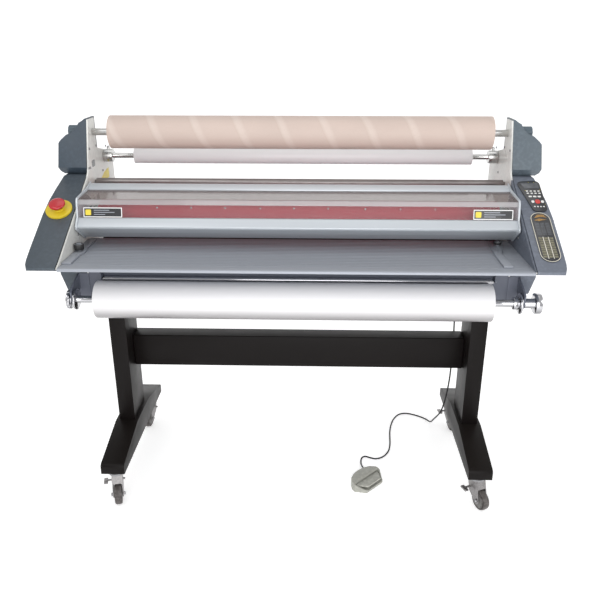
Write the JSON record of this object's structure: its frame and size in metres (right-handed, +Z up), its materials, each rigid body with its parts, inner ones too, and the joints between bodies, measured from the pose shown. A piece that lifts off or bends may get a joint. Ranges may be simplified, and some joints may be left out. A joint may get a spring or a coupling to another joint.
{
  "type": "cold roll laminator",
  "caption": "Wide cold roll laminator on a castered stand, with pressure rollers, hinged safety shield, feed table, film and take-up shafts, and a corded foot switch.",
  "frame": {"origin": "on the floor, under the middle of the machine's bounding box", "axes": "+X along the rollers to the operator's right, +Y away from the operator, +Z up"},
  "size_m": [1.704, 0.744, 1.35],
  "materials": {
    "stand_paint": "semi-gloss black",
    "steel": "turned",
    "caster_steel": "zinc plated",
    "wheel": "moulded grey",
    "plate_paint": "satin off-white",
    "cover": "fine textured blue-grey",
    "bracket_paint": "satin blue-grey",
    "board": "spiral-wound grey board",
    "knob": "moulded",
    "film": "satin white release film",
    "chrome": "polished",
    "red_rubber": "ground silicone",
    "black_rubber": "ground rubber",
    "black_plastic": "moulded",
    "motor": "black",
    "aluminium": "anodised",
    "acrylic": "clear",
    "table": "grey anodised, grooved",
    "panel": "printed membrane",
    "yellow": "moulded",
    "red_plastic": "moulded",
    "switch_plastic": "moulded grey",
    "cord_pvc": "PVC jacket"
  },
  "bodies": {
    "root": {"foot_left": "stand_paint", "foot_right": "stand_paint", "column_left": "stand_paint", "column_right": "stand_paint", "crossbar": "stand_paint", "stand_bolts": "steel", "caster_plates": "steel", "side_plates": "plate_paint", "frame_bars": "plate_paint", "side_cover_left": "cover", "side_cover_right": "cover", "pod_left": "cover", "pod_right": "cover", "supply_brackets": "bracket_paint", "roller_bearings": "steel", "drive_motor": "motor", "feed_table": "table", "exit_table": "table", "control_panel": "panel", "estop_base": "yellow", "footswitch_base": "switch_plastic", "footswitch_cord": "cord_pvc"},
    "caster_fl": {"caster_fork_fl": "caster_steel"},
    "wheel_fl": {"caster_wheel_fl": "wheel"},
    "brake_fl": {"caster_brake_fl": "caster_steel"},
    "caster_fr": {"caster_fork_fr": "caster_steel"},
    "wheel_fr": {"caster_wheel_fr": "wheel"},
    "brake_fr": {"caster_brake_fr": "caster_steel"},
    "caster_rl": {"caster_fork_rl": "caster_steel"},
    "wheel_rl": {"caster_wheel_rl": "wheel"},
    "brake_rl": {"caster_brake_rl": "caster_steel"},
    "caster_rr": {"caster_fork_rr": "caster_steel"},
    "wheel_rr": {"caster_wheel_rr": "wheel"},
    "brake_rr": {"caster_brake_rr": "caster_steel"},
    "takeup": {"takeup_shaft": "steel", "kraft_core": "board"},
    "tension_left": {"tension_knob_left": "knob"},
    "tension_right": {"tension_knob_right": "knob"},
    "film": {"film_shaft": "steel", "film_roll": "film"},
    "supply": {"supply_shaft": "chrome", "supply_roll": "film", "supply_knob_left": "chrome", "supply_knob_right": "chrome"},
    "lower_idler": {"lower_idler": "chrome"},
    "upper_idler": {"upper_idler": "steel"},
    "lift": {"lift_blocks": "steel"},
    "top_roller": {"top_roller": "red_rubber"},
    "bottom_roller": {"bottom_roller": "black_rubber", "roller_gear": "steel"},
    "pinion": {"motor_pinion": "steel"},
    "lift_shaft": {"lift_shaft": "steel"},
    "gap_knob": {"gap_knob": "black_plastic"},
    "shield": {"shield_rails": "aluminium", "shield_window": "acrylic", "shield_ends": "aluminium"},
    "guide_left": {"guide_left": "table"},
    "guide_right": {"guide_right": "table"},
    "estop_button": {"estop_button": "red_plastic"},
    "pedal": {"footswitch_pedal": "switch_plastic"}
  },
  "joints": [
    {"name": "caster_fl_swivel", "type": "hinge", "parent": "root", "child": "caster_fl", "pos_m": [-0.664, -0.28, 0.127], "axis": [0, 0, 1], "continuous": true},
    {"name": "wheel_fl_spin", "type": "hinge", "parent": "caster_fl", "child": "wheel_fl", "pos_m": [-0.65626, -0.31105, 0.038], "axis": [0.9703, 0.2419, 0], "continuous": true},
    {"name": "brake_fl_press", "type": "hinge", "parent": "caster_fl", "child": "brake_fl", "pos_m": [-0.66739, -0.26642, 0.07], "axis": [0.9703, 0.2419, 0], "range_deg": [0, 12]},
    {"name": "caster_fr_swivel", "type": "hinge", "parent": "root", "child": "caster_fr", "pos_m": [0.664, -0.28, 0.127], "axis": [0, 0, 1], "continuous": true},
    {"name": "wheel_fr_spin", "type": "hinge", "parent": "caster_fr", "child": "wheel_fr", "pos_m": [0.67702, -0.30923, 0.038], "axis": [0.9135, 0.4067, 0], "continuous": true},
    {"name": "brake_fr_press", "type": "hinge", "parent": "caster_fr", "child": "brake_fr", "pos_m": [0.65831, -0.26721, 0.07], "axis": [0.9135, 0.4067, 0], "range_deg": [0, 12]},
    {"name": "caster_rl_swivel", "type": "hinge", "parent": "root", "child": "caster_rl", "pos_m": [-0.664, 0.248, 0.127], "axis": [0, 0, 1], "continuous": true},
    {"name": "wheel_rl_spin", "type": "hinge", "parent": "caster_rl", "child": "wheel_rl", "pos_m": [-0.66845, 0.21631, 0.038], "axis": [0.9903, -0.1392, 0], "continuous": true},
    {"name": "brake_rl_press", "type": "hinge", "parent": "caster_rl", "child": "brake_rl", "pos_m": [-0.66205, 0.26186, 0.07], "axis": [0.9903, -0.1392, 0], "range_deg": [0, 12]},
    {"name": "caster_rr_swivel", "type": "hinge", "parent": "root", "child": "caster_rr", "pos_m": [0.664, 0.248, 0.127], "axis": [0, 0, 1], "continuous": true},
    {"name": "wheel_rr_spin", "type": "hinge", "parent": "caster_rr", "child": "wheel_rr", "pos_m": [0.67065, 0.2167, 0.038], "axis": [0.9781, 0.2079, 0], "continuous": true},
    {"name": "brake_rr_press", "type": "hinge", "parent": "caster_rr", "child": "brake_rr", "pos_m": [0.66109, 0.26169, 0.07], "axis": [0.9781, 0.2079, 0], "range_deg": [0, 12]},
    {"name": "takeup_spin", "type": "hinge", "parent": "root", "child": "takeup", "pos_m": [0, 0.12, 1.292], "axis": [1, 0, 0], "continuous": true},
    {"name": "tension_left_turn", "type": "hinge", "parent": "root", "child": "tension_left", "pos_m": [-0.8, 0.12, 1.292], "axis": [1, 0, 0], "continuous": true},
    {"name": "tension_right_turn", "type": "hinge", "parent": "root", "child": "tension_right", "pos_m": [0.8, 0.12, 1.292], "axis": [1, 0, 0], "continuous": true},
    {"name": "film_spin", "type": "hinge", "parent": "root", "child": "film", "pos_m": [0, 0.227, 1.19], "axis": [1, 0, 0], "continuous": true},
    {"name": "supply_spin", "type": "hinge", "parent": "root", "child": "supply", "pos_m": [0, -0.164, 0.754], "axis": [1, 0, 0], "continuous": true},
    {"name": "lower_idler_spin", "type": "hinge", "parent": "root", "child": "lower_idler", "pos_m": [0, -0.112, 0.813], "axis": [1, 0, 0], "continuous": true},
    {"name": "upper_idler_spin", "type": "hinge", "parent": "root", "child": "upper_idler", "pos_m": [0, 0.09, 1.118], "axis": [1, 0, 0], "continuous": true},
    {"name": "lift_slide", "type": "slide", "parent": "root", "child": "lift", "axis": [0, 0, 1], "range_m": [0, 0.02]},
    {"name": "top_roller_spin", "type": "hinge", "parent": "lift", "child": "top_roller", "pos_m": [0, 0.01, 1.0052], "axis": [1, 0, 0], "continuous": true},
    {"name": "bottom_roller_spin", "type": "hinge", "parent": "root", "child": "bottom_roller", "pos_m": [0, 0.01, 0.8748], "axis": [1, 0, 0], "continuous": true},
    {"name": "pinion_spin", "type": "hinge", "parent": "root", "child": "pinion", "pos_m": [0.75, 0.121, 0.8748], "axis": [1, 0, 0], "continuous": true},
    {"name": "lift_shaft_turn", "type": "hinge", "parent": "root", "child": "lift_shaft", "pos_m": [0, 0.09, 1.0152], "axis": [1, 0, 0], "range_deg": [-43, 0]},
    {"name": "gap_knob_turn", "type": "hinge", "parent": "root", "child": "gap_knob", "pos_m": [0.846, -0.152, 1.036], "axis": [1, 0, 0], "range_deg": [-135, 135]},
    {"name": "shield_hinge", "type": "hinge", "parent": "root", "child": "shield", "pos_m": [0, 0.008, 1.12], "axis": [1, 0, 0], "range_deg": [-75, 0]},
    {"name": "guide_left_slide", "type": "slide", "parent": "root", "child": "guide_left", "axis": [1, 0, 0], "range_m": [0, 0.3]},
    {"name": "guide_right_slide", "type": "slide", "parent": "root", "child": "guide_right", "axis": [1, 0, 0], "range_m": [-0.3, 0.025]},
    {"name": "estop_press", "type": "slide", "parent": "root", "child": "estop_button", "axis": [0, 0.4921, -0.8706], "range_m": [0, 0.005]},
    {"name": "pedal_press", "type": "hinge", "parent": "root", "child": "pedal", "pos_m": [0.26647, -0.16966, 0.023], "axis": [0.6947, 0.7193, 0], "range_deg": [0, 9], "stiffness_Nm_per_rad": 0.6, "springref_deg": -6.88}
  ],
  "couplings": [
    {"joint": "pinion_spin", "follows": "bottom_roller_spin", "ratio": -2.0833},
    {"joint": "lift_shaft_turn", "follows": "lift_slide", "rad_per_m": -37.037}
  ]
}
